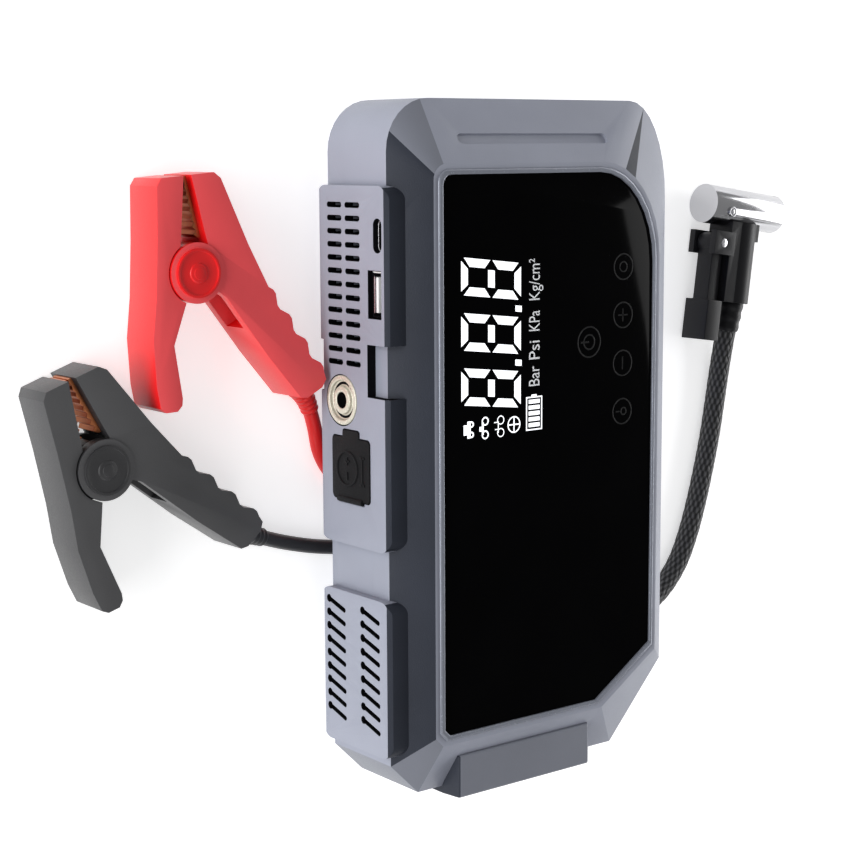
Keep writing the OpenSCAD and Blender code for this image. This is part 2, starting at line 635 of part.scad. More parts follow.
// A plate of a given outline
module edged(line, t) {
    linear_extrude(t) polygon(line);
}
module squeeze_handle() {
    difference() {
        union() {
            difference() {
                edged(SQUEEZE_LINE, clamp_t);
                translate([0, 0, -1]) cylinder(r = boss_r + 0.4, h = clamp_t + 5);
            }
            translate([0, 0, cheek_t + 0.3]) intersection() {
                cylinder(r = boss_r, h = clamp_t - 2*cheek_t - 0.6);
                union() {
                    cylinder(r = boss_r - 3, h = clamp_t);
                    translate([-boss_r, 0, 0]) cube([2*boss_r, boss_r + 2, clamp_t]);
                }
            }
            translate([0, 0, cheek_t + 0.3]) linear_extrude(clamp_t - 2*cheek_t - 0.6)
                polygon([[6, 5], [6, 10], [-6, 12], [-7, 5]]);
        }
        translate([0, 0, -1]) cylinder(r = pin_r + run_gap, h = clamp_t + 5);
        translate([0, 0, mid_z - 2.2]) cylinder(r = boss_r - 2, h = 4.4);
        translate([0, 0, mid_z - 2.2]) linear_extrude(4.4)
            polygon([[-4, -9], [3, 3], [2, 7], [-8, 9.8], [-19, 13.4], [-22, 9.5], [-12, -9]]);
    }
}
TEETH = 8;
// One jaw plate with its teeth, along the mouth of the side given by s
module jaw(s) {
    pitch = (jaw_l - 9.5)/TEETH;
    slope = 2.4/15;
    translate([0, 0, 3]) linear_extrude(clamp_t - 6) polygon(concat(
        [[jaw_l - 0.3, s*1.25], [12, s*3.6], [9.3, s*4.06]],
        [for (i = [0:TEETH - 1]) for (k = [0, 1])
            let (x = 9.3 + (i + 0.5*k)*pitch, drop = slope*(x - 9.3))
            [x, s*(k == 0 ? 3.1 - drop : 2 - 0.7*drop)]],
        [[jaw_l - 0.3, s*0.25]]));
}
module cable_jaw() {
    jaw(-1);
}
module squeeze_jaw() {
    jaw(1);
}
module pivot_pin() {
    cylinder(r = pin_r, h = clamp_t + 1.2);
    translate([0, 0, clamp_t + 0.6]) cylinder(r = pin_r + 0.8, h = 0.8);
}
spring_wire = 1.1;
coil_h = 3.4;
// Torsion spring round the pin, with a leg along each handle
module torsion_spring() {
    r = pin_r + 1;
    translate([0, 0, mid_z - coil_h/2]) rotate_extrude()
        translate([r, 0]) square([spring_wire, coil_h]);
    leg = spring_wire - 0.4;
    rotate([0, 0, 216]) translate([1, r + 0.2, mid_z - coil_h/2 + 0.2]) cube([20, leg, leg]);
    rotate([0, 0, 160]) translate([1, -r - 0.9, mid_z + coil_h/2 - 0.9]) cube([17, leg, leg]);
}
module red_cable_handle() color(RED) at_clamp(RED_AT) cable_handle();
module red_squeeze_handle() color(RED) at_clamp(RED_AT) squeeze_handle();
module red_cable_jaw() color("#b06040") at_clamp(RED_AT) cable_jaw();
module red_squeeze_jaw() color("#b06040") at_clamp(RED_AT) squeeze_jaw();
module red_pivot_pin() color(RED) at_clamp(RED_AT) pivot_pin();
module red_spring() color("silver") at_clamp(RED_AT) torsion_spring();
module black_cable_handle() color(BLACK) at_clamp(BLACK_AT) cable_handle();
module black_squeeze_handle() color(BLACK) at_clamp(BLACK_AT) squeeze_handle();
module black_cable_jaw() color("#b06040") at_clamp(BLACK_AT) cable_jaw();
module black_squeeze_jaw() color("#b06040") at_clamp(BLACK_AT) squeeze_jaw();
module black_pivot_pin() color(BLACK) at_clamp(BLACK_AT) pivot_pin();
module black_spring() color("silver") at_clamp(BLACK_AT) torsion_spring();

module red_lead() color(RED) sweep(spread(RED_ROUTE), lead_d/2, 10);
module black_lead() color(BLACK) sweep(spread(BLACK_ROUTE), lead_d/2, 10);
plug_x = 20;
PLUG_ROWS = [-69.5 - side_shift, -62.5 - side_shift];
plug_z = 5.2;
module lead_plug() color("blue") {
    difference() {
        block(plug_x, plug_x + 24, PLUG_ROWS[0] - 4.3, PLUG_ROWS[1] + 4.3, 0, 2*plug_z);
        for (y = PLUG_ROWS) translate([plug_x - 1, y, plug_z]) rotate([0, 90, 0])
            cylinder(r = lead_d/2 + 0.2, h = 6);
        for (y = PLUG_ROWS) translate([plug_x + 14, y, plug_z]) rotate([0, 90, 0])
            cylinder(r = 2.9, h = 20);
    }
}
module plug_contacts() color("gold") {
    for (y = PLUG_ROWS) translate([plug_x + 14, y, plug_z]) rotate([0, 90, 0])
        cylinder(r = 1.8, h = 9);
}
module hose_gland() color(BLACK) {
    difference() {
        block(gland_x - 6, gland_x + 6, gland_y - 2.4, gland_y + 14, 0.6, channel_h);
        translate([gland_x, gland_y + 4, 4.4]) rotate([90, 0, 0]) cylinder(d = hose_d, h = 20);
    }
    translate([gland_x, gland_y, channel_h - 1]) cylinder(r = 2.6, h = 6.2);
}
module air_hose() color(BLACK) sweep(HOSE_ROUTE, hose_d/2, 12);

// Chuck, drawn with the head's centre at the origin and the hose at -X
module at_chuck() {
    translate([CHUCK_AT[0], CHUCK_AT[1], chuck_z]) rotate([0, 0, CHUCK_AT[2]]) children();
}
module chuck_body() color(BLACK) at_chuck() {
    difference() {
        union() {
            translate([-33, chuck_y, 0]) rotate([0, 90, 0]) cylinder(d = chuck_d, h = 28);
            translate([-33, chuck_y, -5.4]) cube([28, 7.5 - chuck_y, 10.8]);
            translate([-11, -7.2, -4.6]) cube([6, 14.7, 9.2]);
            translate([lever_x - 4, 6, -6.2]) cube([8, 10, 2.4]);
            translate([lever_x - 4, 6, 3.8]) cube([8, 10, 2.4]);
        }
        rotate([90, 0, 0]) cylinder(d = head_d, h = 60, center = true);
        translate([-40, -2.5, -0.2]) rotate([0, 90, 0]) cylinder(d = hose_d + 0.2, h = 14);
        translate([lever_x, lever_y, -20]) cylinder(r = 1.5, h = 40);
    }
}
module chuck_head() color("silver") at_chuck() {
    difference() {
        translate([0, head_l/2, 0]) rotate([90, 0, 0]) cylinder(d = head_d, h = head_l);
        translate([0, -head_l/2 + valve_depth, 0]) rotate([90, 0, 0])
            cylinder(d = valve_bore, h = valve_depth + 1);
        translate([0, -head_l/2 + valve_depth + seal_t, 0]) rotate([90, 0, 0])
            cylinder(d = valve_bore + 1.6, h = seal_t);
    }
    translate([-2, 10, head_d/2 - 1.4]) cylinder(r = 1.4, h = 1.9);
}
module chuck_seal() color(BLACK) at_chuck() {
    translate([0, -head_l/2 + valve_depth + seal_t, 0]) rotate([90, 0, 0]) difference() {
        cylinder(d = valve_bore + 1.6, h = seal_t);
        translate([0, 0, -1]) cylinder(d = 5, h = 6);
    }
}
// Lever that locks the head on a valve. It lies along the body at rest
module chuck_lever() color(BLACK) at_chuck() {
    difference() {
        union() {
            translate([lever_x, lever_y, -3.5]) cylinder(r = 3.4, h = 7);
            translate([lever_x - 30, 9, -3.5]) cube([30, 5, 7]);
            translate([lever_x - 34, 8.4, -5.5]) cube([14, 7, 11]);
        }
        translate([lever_x, lever_y, -20]) cylinder(r = 1.5 + run_gap, h = 40);
    }
}
module lever_pin() color("silver") at_chuck() {
    translate([lever_x, lever_y, -6.4]) cylinder(r = 1.5, h = 12.8);
}

front_shell();
back_shell();
port_panel();
vent_panel();
display_rim();
display_glass();
led_display();
touch_board();
main_board();
port_board();
usb_c_socket();
usb_a_socket();
dc_socket();
jump_socket();
socket_contacts();
port_cover();
battery_cells();
battery_tray();
relay();
heat_sink();
motor_can();
crankshaft();
cooling_fan();
piston();
pump_cylinder();
pump_head();
pump_bracket();
air_pipe();
pressure_sensor();
lamp_housing();
lamp_board();
lamp_lens();
rubber_feet();
case_screws();
red_cable_handle();
red_squeeze_handle();
red_cable_jaw();
red_squeeze_jaw();
red_pivot_pin();
red_spring();
black_cable_handle();
black_squeeze_handle();
black_cable_jaw();
black_squeeze_jaw();
black_pivot_pin();
black_spring();
red_lead();
black_lead();
lead_plug();
plug_contacts();
hose_gland();
air_hose();
chuck_body();
chuck_head();
chuck_seal();
chuck_lever();
lever_pin();
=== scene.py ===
# %% [markdown]
# # A jump starter pack, lying on its back
# The real object is a grey moulded power pack with a black glass display, two spring clamps on
# short leads, and a braided air hose that ends in a chrome chuck. The CAD model already holds
# every size, so this lesson only adds what the eye needs: rounded edges, a woven hose, lit
# digits and good surfaces. The frame is loaded first, because every piece is placed from it.

# %% Load the frame
import json
import math
import bpy
from mathutils import Matrix, Vector

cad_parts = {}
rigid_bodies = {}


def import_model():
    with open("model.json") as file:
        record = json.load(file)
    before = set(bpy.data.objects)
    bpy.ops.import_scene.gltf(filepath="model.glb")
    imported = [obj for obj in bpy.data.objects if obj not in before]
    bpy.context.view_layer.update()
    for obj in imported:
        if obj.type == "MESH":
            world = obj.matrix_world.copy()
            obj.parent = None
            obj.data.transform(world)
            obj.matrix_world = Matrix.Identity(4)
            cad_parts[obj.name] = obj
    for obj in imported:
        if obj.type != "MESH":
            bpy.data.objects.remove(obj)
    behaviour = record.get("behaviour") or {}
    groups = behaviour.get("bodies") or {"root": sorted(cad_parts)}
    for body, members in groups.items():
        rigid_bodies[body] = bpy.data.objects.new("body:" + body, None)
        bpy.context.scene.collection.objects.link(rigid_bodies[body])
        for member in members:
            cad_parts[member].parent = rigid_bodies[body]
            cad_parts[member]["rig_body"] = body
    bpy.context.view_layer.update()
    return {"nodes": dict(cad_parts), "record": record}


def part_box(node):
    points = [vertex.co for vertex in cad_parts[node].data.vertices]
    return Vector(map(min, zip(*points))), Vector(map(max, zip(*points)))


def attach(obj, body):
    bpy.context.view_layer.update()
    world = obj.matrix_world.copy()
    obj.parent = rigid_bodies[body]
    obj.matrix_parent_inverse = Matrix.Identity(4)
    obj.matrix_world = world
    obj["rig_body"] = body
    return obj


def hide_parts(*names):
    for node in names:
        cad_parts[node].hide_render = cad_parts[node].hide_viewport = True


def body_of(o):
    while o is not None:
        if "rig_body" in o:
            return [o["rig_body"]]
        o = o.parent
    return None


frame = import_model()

MM = 0.001
NODES = frame["nodes"]
SLOT_OF = {row["node"]: row["material_slot"] for row in frame["record"]["subparts"]}

# %% [markdown]
# ## The camera
# A pack like this is best seen from above one long side, and turned so that it stands upright
# in the view. The pack really lies on the table, so the camera is the thing that turns: its up
# direction is close to the pack's long axis, +X.

# %% Place the camera
CAMERA_AT = Vector((0.0884, 0.3720, 0.4647))
CAMERA_BACK = Vector((0.1469, 0.6060, 0.7818)).normalized()
CAMERA_UP = Vector((0.9891, -0.0942, -0.1128))
LENS_MM = 79.5
SENSOR_MM = 36
NEAREST = 0.01


def add_camera():
    data = bpy.data.cameras.new("camera")
    data.lens = LENS_MM
    data.sensor_width = SENSOR_MM
    data.clip_start = NEAREST
    camera = bpy.data.objects.new("camera", data)
    bpy.context.scene.collection.objects.link(camera)
    right = CAMERA_UP.cross(CAMERA_BACK).normalized()
    up = CAMERA_BACK.cross(right)
    camera.matrix_world = Matrix.Translation(CAMERA_AT) @ Matrix(
        (right, up, CAMERA_BACK)).transposed().to_4x4()
    bpy.context.scene.camera = camera


add_camera()
print("camera lens:", LENS_MM, "mm")

# %% [markdown]
# ## Routes of the cords
# A lead or hose keeps its length and lies under its own weight, so its line is chosen before
# anything else. Each list is the line that the CAD tube follows. A smooth curve that passes
# through every point gives the finished cord its centreline, and it is then cut into equal steps.

# %% Cord routes in millimetres
RED_ROUTE = [(18.6, 65, 6), (15.5, 61.6, 5.2), (11.5, 58.8, 3.9), (5, 56, 2.6), (-3, 54, 2.3),
    (-9.5, 50, 2.3), (-13.5, 44, 2.3), (-15.5, 36, 2.3), (-16.5, 24, 2.3), (-17, 8, 2.3),
    (-17, -10, 2.3), (-16, -28, 2.3), (-14.5, -42, 2.3), (-11, -53, 2.3), (-5, -59.4, 2.6),
    (3, -62, 3.6), (12, -62.5, 4.8), (21, -62.5, 5.2)]
BLACK_ROUTE = [(-22.2, 86.2, 6), (-23.8, 82, 5.2), (-26.4, 75, 3.6), (-29, 67, 2.5),
    (-31.4, 57.5, 2.3), (-33, 48, 2.3), (-34, 38, 2.3), (-34.5, 24, 2.3), (-34.5, 8, 2.3),
    (-34, -10, 2.3), (-33, -28, 2.3), (-31, -43, 2.3), (-27, -54.5, 2.3), (-19.5, -63.5, 2.3),
    (-10, -68.2, 2.6), (0, -69.4, 3.6), (10, -69.5, 4.8), (21, -69.5, 5.2)]
HOSE_ROUTE = [(-74, -46.5, 4.4), (-74, -54, 4.1), (-74, -62, 3.7), (-73.6, -72, 3.5),
    (-71.5, -82, 3.5), (-66.5, -91, 3.5), (-58.5, -98.5, 3.5), (-49, -103.5, 3.5),
    (-38, -107.5, 3.5), (-26, -111, 3.5), (-14, -114, 3.5), (-2, -116.3, 3.5), (8, -117.7, 3.9),
    (18, -118.8, 4.8), (27, -119.9, 5.8), (34, -120.9, 6.4)]


FINE_STEPS = 24


def smooth_line(route, step):
    """Points a step apart, in metres, on a smooth curve through the route's points."""
    p = [Vector(q) * MM for q in route]
    p = [2 * p[0] - p[1]] + p + [2 * p[-1] - p[-2]]
    fine = []
    for a, b, c, d in zip(p, p[1:], p[2:], p[3:]):
        for k in range(FINE_STEPS):
            t = k / FINE_STEPS
            fine.append(0.5 * ((2 * b) + (c - a) * t + (2 * a - 5 * b + 4 * c - d) * t * t
                + (3 * b - a - 3 * c + d) * t ** 3))
    fine.append(p[-2])
    count = max(8, round(length_of(fine) / step))
    out, walked, goal = [fine[0]], 0.0, length_of(fine) / count
    for a, b in zip(fine, fine[1:]):
        span = (b - a).length
        while walked + span >= goal * len(out) and len(out) < count:
            out.append(a.lerp(b, (goal * len(out) - walked) / span))
        walked += span
    return out + [fine[-1]]


def length_of(points):
    return sum((b - a).length for a, b in zip(points, points[1:]))


for title, route in (("red", RED_ROUTE), ("black", BLACK_ROUTE), ("hose", HOSE_ROUTE)):
    print(title, "length in m:", round(length_of(smooth_line(route, 2 * MM)), 4))

# %% [markdown]
# ## Tubes along a line
# A curve with a round bevel would do for a plain lead, but the braid on the hose needs its own
# surface: the strands have to rise over and dive under each other. So every cord starts as a
# flat grid, which is rolled up round its line like a sheet of paper. The seam is then merged
# and the two ends are filled. The radius may change from point to point.

# %% Roll a grid into a tube
SEAM_GAP = 0.002 * MM


def tube(name, line, radius_at, sides):
    """A closed tube along line; radius_at(share round, metres along) gives its radius."""
    bpy.ops.object.select_all(action="DESELECT")
    steps = len(line) - 1
    bpy.ops.mesh.primitive_grid_add(x_subdivisions=sides, y_subdivisions=steps, size=1)
    obj = bpy.context.object
    obj.name = name
    total = length_of(line)
    for vertex in obj.data.vertices:
        share = vertex.co.x + 0.5
        i = round((vertex.co.y + 0.5) * steps)
        ahead = (line[min(i + 1, steps)] - line[max(i - 1, 0)]).normalized()
        across = Vector((0, 0, 1)).cross(ahead).normalized()
        up = ahead.cross(across)
        angle = 2 * math.pi * share
        out = math.cos(angle) * across + math.sin(angle) * up
        vertex.co = line[i] + radius_at(share % 1, total * i / steps) * out
    bpy.ops.object.mode_set(mode="EDIT")
    bpy.ops.mesh.select_all(action="SELECT")
    bpy.ops.mesh.remove_doubles(threshold=SEAM_GAP)
    bpy.ops.mesh.fill_holes(sides=0)
    bpy.ops.mesh.select_all(action="SELECT")
    bpy.ops.mesh.normals_make_consistent(inside=False)
    bpy.ops.object.mode_set(mode="OBJECT")
    bpy.ops.object.shade_smooth()
    return obj


print("a tube's seam is merged within", round(SEAM_GAP / MM, 4), "mm")

# %% [markdown]
# ## The braid
# The sleeve is woven from flat bundles that run both ways round the hose. Where a bundle goes
# over, the surface stands 0.4 mm proud, and at each crossing the two swap. Two sets of slanting
# ridges and a checkerboard of crossings give that. A lead is plain, and only thickens a little
# where it enters its clamp.

# %% Weave the hose and lay the leads
HOSE_D = 7.0 * MM
LEAD_D = 4.5 * MM
STRANDS = 12
PITCH = 1 / (4.4 * MM)
SUNK = 0.34 * MM
PROUD = 0.40 * MM
FLARE = 0.35 * MM
FLARE_RUN = 9 * MM


def braid_radius(share, along):
    a = STRANDS * share + PITCH * along
    b = STRANDS * share - PITCH * along
    over_a = (math.floor(a) + math.floor(b)) % 2 == 0
    ridge_a = math.sin(math.pi * (a % 1)) ** 0.5
    ridge_b = math.sin(math.pi * (b % 1)) ** 0.5
    lift = ridge_a if over_a else ridge_b
    return HOSE_D / 2 - SUNK + PROUD * lift


def lead_radius(share, along):
    return LEAD_D / 2 + FLARE * max(0.0, 1 - along / FLARE_RUN)


hose_line = smooth_line(HOSE_ROUTE, 0.25 * MM)
red_line = smooth_line(RED_ROUTE, 1.6 * MM)
black_line = smooth_line(BLACK_ROUTE, 1.6 * MM)
hose = tube("braided_hose", hose_line, braid_radius, 96)
red_cord = tube("red_cord", red_line, lead_radius, 24)
black_cord = tube("black_cord", black_line, lead_radius, 24)
print("hose faces:", len(hose.data.polygons))

# %% [markdown]
# ## Surfaces
# Nearly everything here is moulded plastic, and what makes plastic look real is small: a fine
# spark texture, a slow change of tone, and gloss that is never quite even. One function builds
# that from a few numbers, and metals, rubber and glass are the same idea with other numbers.

# %% A surface with grain, tone and uneven gloss
MATERIALS = {}
PATCHES = 38
LOW, HIGH = 0.3, 0.7
GRAIN_DEPTH = 0.12 * MM


def surface(name, colour, rough, metal=0.0, grain=900.0, bump=0.1, tone=0.06, **sockets):
    material = bpy.data.materials.new(name)
    material.use_nodes = True
    nodes = material.node_tree.nodes
    links = material.node_tree.links
    shader = nodes["Principled BSDF"]
    shader.inputs["Metallic"].default_value = metal
    for socket, value in sockets.items():
        shader.inputs[socket.replace("_", " ")].default_value = value
    place = nodes.new("ShaderNodeTexCoord")
    fine = nodes.new("ShaderNodeTexNoise")
    fine.inputs["Scale"].default_value = grain
    fine.inputs["Detail"].default_value = 3
    slow = nodes.new("ShaderNodeTexNoise")
    slow.inputs["Scale"].default_value = PATCHES
    slow.inputs["Detail"].default_value = 5
    for texture in (fine, slow):
        links.new(place.outputs["Object"], texture.inputs["Vector"])
    ramp = nodes.new("ShaderNodeValToRGB")
    ramp.color_ramp.elements[0].position = LOW
    ramp.color_ramp.elements[1].position = HIGH
    ramp.color_ramp.elements[0].color = [c * (1 - tone) for c in colour] + [1]
    ramp.color_ramp.elements[1].color = [min(1, c * (1 + tone)) for c in colour] + [1]
    links.new(slow.outputs["Fac"], ramp.inputs["Fac"])
    links.new(ramp.outputs["Color"], shader.inputs["Base Color"])
    gloss = nodes.new("ShaderNodeMapRange")
    gloss.inputs["From Min"].default_value = LOW
    gloss.inputs["From Max"].default_value = HIGH
    gloss.inputs["To Min"].default_value = max(0.02, rough * 0.88)
    gloss.inputs["To Max"].default_value = min(1, rough * 1.12)
    links.new(fine.outputs["Fac"], gloss.inputs["Value"])
    links.new(gloss.outputs["Result"], shader.inputs["Roughness"])
    if bump:
        relief = nodes.new("ShaderNodeBump")
        relief.inputs["Strength"].default_value = bump
        relief.inputs["Distance"].default_value = GRAIN_DEPTH
        links.new(fine.outputs["Fac"], relief.inputs["Height"])
        links.new(relief.outputs["Normal"], shader.inputs["Normal"])
    MATERIALS[name] = material
    return material


print("a surface's grain is", round(GRAIN_DEPTH / MM, 3), "mm deep")

# %% [markdown]
# ## The finishes
# Most finishes are named after what they cover. Moulded parts have a fine strong grain, polished
# metals have little, and the glass and its marks have none. The flat faces of the clamps, the
# lamp's housing and the rim of the display have finishes of their own, and the paler finish of the
# clamps' flat faces is painted light. One dark grey is only painted shade, put on faces of the
# case that are turned from the light.

# %% The finishes of the pack
surface("case_grey", (0.27, 0.285, 0.345), 0.45, grain=2600, bump=0.35, tone=0.05,
    Specular_IOR_Level=0.35)
# This dark grey is painted shade: it goes on faces of the grey case that are turned away from the
# light.
surface("painted_shade_dark", (0.026, 0.030, 0.042), 0.5, grain=2600, bump=0.45, tone=0.1,
    Specular_IOR_Level=0.18)
surface("lamp_grey", (0.17, 0.18, 0.215), 0.45, grain=2600, bump=0.35, tone=0.05,
    Specular_IOR_Level=0.35)
surface("rim_grey", (0.22, 0.235, 0.28), 0.25, metal=0.35, grain=1500, bump=0.05)
surface("display_black", (0.0012, 0.0012, 0.0014), 0.07, bump=0, tone=0.2, Specular_IOR_Level=0.02)
surface("display_white", (0.85, 0.87, 0.9), 0.4, bump=0, tone=0.02,
    Emission_Color=(0.95, 0.97, 1, 1), Emission_Strength=0.85)
surface("key_grey", (0.0055, 0.0055, 0.006), 0.35, bump=0, tone=0.1, Specular_IOR_Level=0.1)
surface("board_green", (0.02, 0.16, 0.06), 0.4, grain=700, bump=0.2, tone=0.15)
surface("board_white", (0.75, 0.76, 0.76), 0.45, grain=700, bump=0.15)
surface("socket_steel", (0.60, 0.60, 0.62), 0.28, metal=1.0, grain=1800, bump=0.08, tone=0.08)
surface("port_ivory", (0.62, 0.60, 0.50), 0.26, metal=0.25, grain=1200, bump=0.08)
surface("black_plastic", (0.012, 0.012, 0.014), 0.4, grain=2200, bump=0.3, tone=0.15,
    Specular_IOR_Level=0.2)
surface("recess_black", (0.004, 0.004, 0.005), 0.8, grain=900, bump=0.1, tone=0.2,
    Specular_IOR_Level=0.05)
surface("gold_contact", (0.80, 0.58, 0.22), 0.24, metal=1.0, bump=0.05)
surface("black_rubber", (0.007, 0.007, 0.008), 0.6, grain=1700, bump=0.4, tone=0.2,
    Specular_IOR_Level=0.14)
surface("cell_blue", (0.03, 0.09, 0.36), 0.35, grain=300, bump=0.1)
surface("relay_blue", (0.04, 0.06, 0.30), 0.4, bump=0.1)
surface("bare_aluminium", (0.62, 0.63, 0.65), 0.36, metal=1.0, grain=1400, bump=0.25)
surface("clear_pipe", (0.62, 0.62, 0.58), 0.4, bump=0.1)
surface("lamp_clear", (0.86, 0.88, 0.9), 0.12, grain=500, bump=0.1, Transmission_Weight=0.6)
surface("red_cable", (0.72, 0.008, 0.008), 0.38, grain=1500, bump=0.2)
surface("black_cable", (0.012, 0.012, 0.013), 0.40, grain=1500, bump=0.25, tone=0.2)
surface("plug_blue", (0.02, 0.08, 0.42), 0.4, grain=1800, bump=0.25)
surface("chrome_head", (0.52, 0.52, 0.54), 0.16, metal=1.0, grain=900, bump=0.02, tone=0.03)
surface("red_clamp", (0.80, 0.006, 0.008), 0.36, grain=2000, bump=0.22, tone=0.05,
    Coat_Weight=0.25, Coat_Roughness=0.3)
surface("black_clamp", (0.024, 0.024, 0.026), 0.42, grain=2000, bump=0.3, tone=0.12,
    Coat_Weight=0.2, Coat_Roughness=0.35)
# The paler red and grey for the clamps' flat faces are painted light. Only their matt gloss is the
# faces' own.
surface("red_flat", (0.93, 0.085, 0.095), 0.42, grain=2000, bump=0.22, tone=0.04)
surface("black_flat", (0.070, 0.070, 0.073), 0.48, grain=2000, bump=0.3, tone=0.1)
surface("copper_jaw", (0.50, 0.17, 0.07), 0.33, metal=0.9, grain=900, bump=0.35, tone=0.25)
print("finishes:", len(MATERIALS))

# %% [markdown]
# ## The weave's colours
# The bundles are dark nylon. Each bundle is a stripe with a painted highlight along its raised
# middle and painted shade at its edges. The stripes follow the hose's own map, so they never slide
# when the hose is moved.

# %% The braid's finish
def math_step(tree, operation, *values):
    """The result of a Math node; each value is a plain number or another node's output."""
    node = tree.nodes.new("ShaderNodeMath")
    node.operation = operation
    for socket, value in zip(node.inputs, values):
        if isinstance(value, bpy.types.NodeSocket):
            tree.links.new(value, socket)
        else:
            socket.default_value = value
    return node.outputs[0]


def braid_finish():
    material = surface("braid_black", (0.035, 0.035, 0.037), 0.55, grain=2500, bump=0.4, tone=0.2)
    nodes = material.node_tree.nodes
    links = material.node_tree.links
    uv = nodes.new("ShaderNodeUVMap")
    uv.uv_map = "UVMap"
    parts = nodes.new("ShaderNodeSeparateXYZ")
    links.new(uv.outputs["UV"], parts.inputs["Vector"])
    run = length_of(hose_line)
    stripes = []
    for turn in (PITCH * run, -PITCH * run):
        slant = math_step(material.node_tree, "MULTIPLY", parts.outputs["Y"], turn)
        total = math_step(material.node_tree, "MULTIPLY_ADD", parts.outputs["X"], STRANDS, slant)
        stripes.append(math_step(material.node_tree, "PINGPONG", total, 0.5))
    both = math_step(material.node_tree, "ADD", *stripes)
    # Painted highlight and painted shade: each bundle is pale along its middle and dark at its
    # edges.
    ramp = nodes.new("ShaderNodeValToRGB")
    ramp.color_ramp.elements[0].position = 0.35
    ramp.color_ramp.elements[0].color = (0.006, 0.006, 0.007, 1)
    ramp.color_ramp.elements[1].position = 0.95
    ramp.color_ramp.elements[1].color = (0.13, 0.13, 0.135, 1)
    links.new(both, ramp.inputs["Fac"])
    links.new(ramp.outputs["Color"], nodes["Principled BSDF"].inputs["Base Color"])


braid_finish()
for piece, node, slot in ((hose, "air_hose", "braid_black"), (red_cord, "red_lead", "red_cable"),
        (black_cord, "black_lead", "black_cable")):
    piece.data.materials.append(MATERIALS[slot])
    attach(piece, "pack")
    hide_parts(node)
print("bundles each way:", STRANDS)

# %% [markdown]
# ## Rounding a moulded part
# A CAD solid has knife edges, and no moulded part does. A copy of the solid is cleaned by
# merging its corners and dissolving its flat triangles, and then a bevel modifier rounds each
# real edge. The copy stands for the CAD part, which stays as it is.

# %% Helpers that pick, clean and round
CORNER_GAP = 0.004 * MM
FLAT_WITHIN = 0.4


def pick(obj):
    bpy.ops.object.select_all(action="DESELECT")
    obj.select_set(True)
    bpy.context.view_layer.objects.active = obj


def finish_piece(obj, slot, body, stands_for=()):
    obj.data.materials.clear()
    obj.data.materials.append(MATERIALS[slot])
    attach(obj, body)
    if stands_for:
        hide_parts(*stands_for)
    return obj


def round_edges(obj, width, segments=2, angle=30):
    pick(obj)
    if width:
        bevel = obj.modifiers.new("round", "BEVEL")
        bevel.width = width * MM
        bevel.segments = segments
        bevel.limit_method = "ANGLE"
        bevel.angle_limit = math.radians(angle)
        bpy.ops.object.modifier_apply(modifier="round")
    bpy.ops.object.shade_smooth_by_angle(angle=math.radians(angle))


def rounded_copy(node, width, segments=2, angle=30):
    obj = bpy.data.objects.new(node + "_moulded", NODES[node].data.copy())
    bpy.context.scene.collection.objects.link(obj)
    pick(obj)
    bpy.ops.object.mode_set(mode="EDIT")
    bpy.ops.mesh.select_all(action="SELECT")
    bpy.ops.mesh.remove_doubles(threshold=CORNER_GAP)
    bpy.ops.mesh.dissolve_limited(angle_limit=math.radians(FLAT_WITHIN))
    bpy.ops.object.mode_set(mode="OBJECT")
    round_edges(obj, width, segments, angle)
    return finish_piece(obj, SLOT_OF[node], body_of(NODES[node])[0], [node])


print("faces within", FLAT_WITHIN, "degrees become one")

# %% [markdown]
# ## How round each part is
# The case has soft edges, the sockets have crisp ones, and the chuck's body is the roundest. Each
# row gives a part the width of its rounding in mm, the number of steps in it, and the angle in
# degrees past which an edge is rounded.

# %% Round every part that shows
ROUNDING = {
    "front_shell": (0.9, 3, 20), "back_shell": (0.5, 2, 22), "port_panel": (0.55, 3, 25),
    "vent_panel": (0.55, 3, 25), "display_rim": (0.15, 2, 30), "display_glass": (0.12, 2, 30),
    "dc_socket": (0.45, 3, 30), "port_cover": (0.5, 3, 30), "jump_socket": (0.2, 2, 30),
    "usb_c_socket": (0.08, 2, 35), "usb_a_socket": (0.1, 2, 35), "lamp_housing": (0.7, 3, 15),
    "lamp_lens": (0.3, 2, 30), "rubber_feet": (0.2, 2, 30), "case_screws": (0.12, 2, 35),
    "lead_plug": (0.7, 3, 30), "plug_contacts": (0.4, 3, 30), "hose_gland": (0.5, 2, 30),
    "chuck_body": (1.5, 4, 30), "chuck_head": (0.5, 3, 30), "chuck_seal": (0.3, 2, 30),
    "chuck_lever": (1.1, 3, 30), "lever_pin": (0.25, 2, 30)}
for side in ("red", "black"):
    ROUNDING[side + "_cable_handle"] = (1.0, 3, 28)
    ROUNDING[side + "_squeeze_handle"] = (0.9, 3, 28)
    ROUNDING[side + "_cable_jaw"] = (0.12, 2, 25)
    ROUNDING[side + "_squeeze_jaw"] = (0.12, 2, 25)
    ROUNDING[side + "_pivot_pin"] = (0.4, 3, 30)
moulded = {node: rounded_copy(node, *how) for node, how in ROUNDING.items()}
print("rounded:", len(moulded), "faces:", sum(len(o.data.polygons) for o in moulded.values()))

# %% [markdown]
# ## The parts inside
# The cells, boards and pump are sealed in and seldom seen, so their CAD shapes are enough. They
# still get their own finishes, because the case has slots that a light can reach through.

# %% Finish the sealed parts
for node, obj in NODES.items():
    if node not in ROUNDING and not obj.hide_render:
        obj.data.materials.clear()
        obj.data.materials.append(MATERIALS[SLOT_OF[node]])
print("sealed parts:", sum(1 for o in NODES.values() if not o.hide_render))
